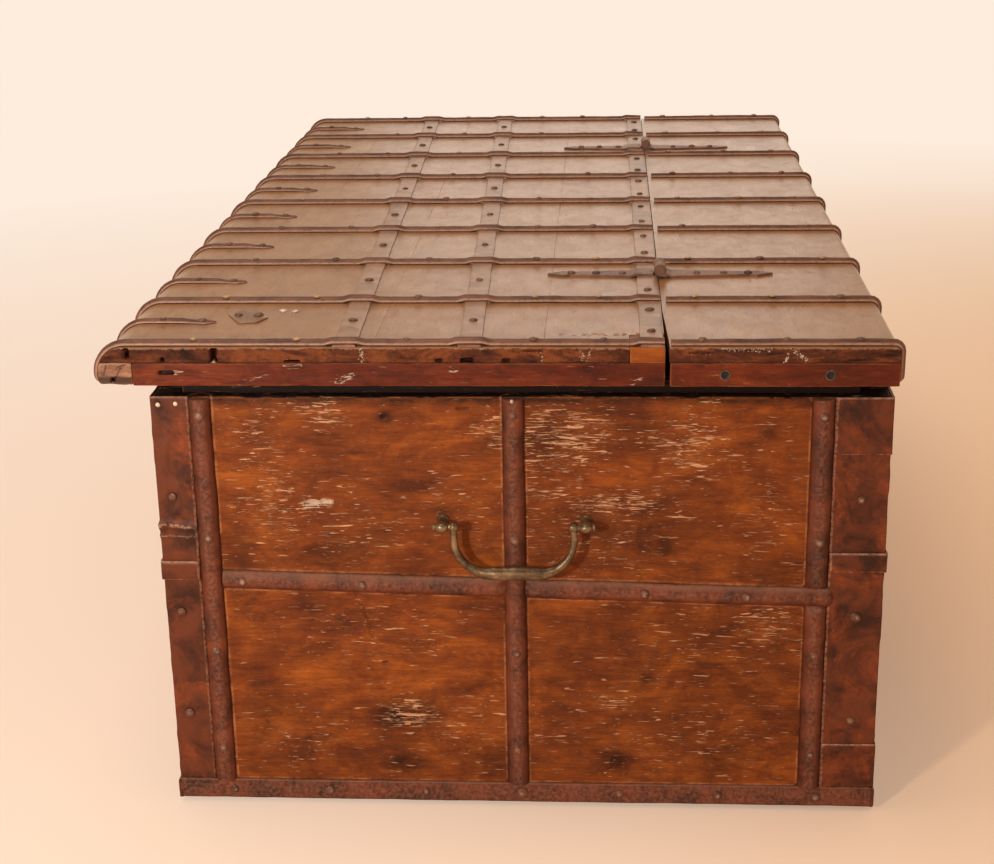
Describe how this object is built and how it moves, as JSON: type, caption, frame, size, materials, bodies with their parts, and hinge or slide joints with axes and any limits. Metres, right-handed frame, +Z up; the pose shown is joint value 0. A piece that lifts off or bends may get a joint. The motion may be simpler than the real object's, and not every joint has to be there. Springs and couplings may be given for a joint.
{
  "type": "iron-bound plank chest",
  "caption": "Long low plank chest bound with wrought iron straps; a front flap of the lid lifts on two strap hinges, with drop bail handles at the ends and a hasp in front.",
  "frame": {"origin": "on the floor, under the centre of the case (the overhang of the lid's front edge is not counted)", "axes": "+Z up; +X along the length, towards the right-hand end as seen from the front; +Y from the front towards the hinge side"},
  "size_m": [1.362, 0.7644, 0.5025],
  "materials": {
    "case_timber": "worn satin, dark red-brown with pale scratches",
    "inner_timber": "dry and unpolished",
    "lid_timber": "dark satin patina",
    "rail_timber": "reddish satin",
    "mending_timber": "orange-brown, newer than the rest",
    "nosing_timber": "bare, grey and weathered",
    "sheet_iron": "rust-brown waxed sheet",
    "case_iron": "rust-brown waxed wrought iron",
    "lid_iron": "dark polished patina",
    "case_nails": "rust-brown domed heads",
    "lid_nails": "rubbed, slightly golden domed heads",
    "handle_iron": "grey-brown, polished by hands"
  },
  "bodies": {
    "case": {"front_wall": "case_timber", "back_wall": "case_timber", "right_end_wall": "case_timber", "left_end_wall": "case_timber", "bottom_boards": "inner_timber", "rear_deck_plank": "lid_timber", "rear_end_rails": "rail_timber", "rear_long_rails": "inner_timber", "rail_bolts": "case_iron", "corner_iron_front_right": "sheet_iron", "corner_iron_back_right": "sheet_iron", "corner_iron_front_left": "sheet_iron", "corner_iron_back_left": "sheet_iron", "right_end_uprights": "case_iron", "left_end_uprights": "case_iron", "front_uprights": "case_iron", "back_uprights": "case_iron", "right_mid_band": "case_iron", "left_mid_band": "case_iron", "front_mid_band": "case_iron", "back_mid_band": "case_iron", "end_foot_bands": "case_iron", "front_foot_band": "case_iron", "back_foot_band": "case_iron", "corner_clips": "sheet_iron", "corner_plates": "sheet_iron", "right_handle_posts": "handle_iron", "left_handle_posts": "handle_iron", "right_end_nails": "case_nails", "left_end_nails": "case_nails", "front_nails": "case_nails", "back_nails": "case_nails", "rear_cross_straps": "lid_iron", "rear_deck_nails": "lid_nails", "rear_hinge_leaves": "lid_iron", "hinge_pins": "lid_iron", "hasp_staple": "case_iron"},
    "flap": {"flap_plank_1": "lid_timber", "flap_plank_2": "lid_timber", "flap_plank_3": "lid_timber", "flap_plank_4": "lid_timber", "mending_block": "mending_timber", "nosing": "nosing_timber", "flap_end_rails": "rail_timber", "flap_front_rail": "inner_timber", "flap_hinge_rail": "inner_timber", "flap_battens": "inner_timber", "front_long_strap": "lid_iron", "middle_long_strap": "lid_iron", "hinge_edge_strap": "lid_iron", "flap_cross_straps": "lid_iron", "short_straps": "lid_iron", "flap_nails": "lid_nails", "flap_hinge_leaves": "lid_iron", "diamond_patch": "sheet_iron", "hasp_eye": "case_iron", "hasp_pin": "case_iron"},
    "hasp": {"hasp": "case_iron"},
    "right_bail": {"right_bail": "handle_iron"},
    "left_bail": {"left_bail": "handle_iron"}
  },
  "joints": [
    {"name": "lid_hinge", "type": "hinge", "parent": "case", "child": "flap", "pos_m": [0, 0.14075, 0.496], "axis": [-1, 0, 0], "range_deg": [0, 170]},
    {"name": "hasp_swing", "type": "hinge", "parent": "flap", "child": "hasp", "pos_m": [0, -0.392, 0.4438], "axis": [-1, 0, 0], "range_deg": [-16, 90]},
    {"name": "right_bail_swing", "type": "hinge", "parent": "case", "child": "right_bail", "pos_m": [0.674, -0.004, 0.312], "axis": [0, -1, 0], "range_deg": [-3, 165]},
    {"name": "left_bail_swing", "type": "hinge", "parent": "case", "child": "left_bail", "pos_m": [-0.674, -0.004, 0.312], "axis": [0, 1, 0], "range_deg": [-3, 165]}
  ]
}
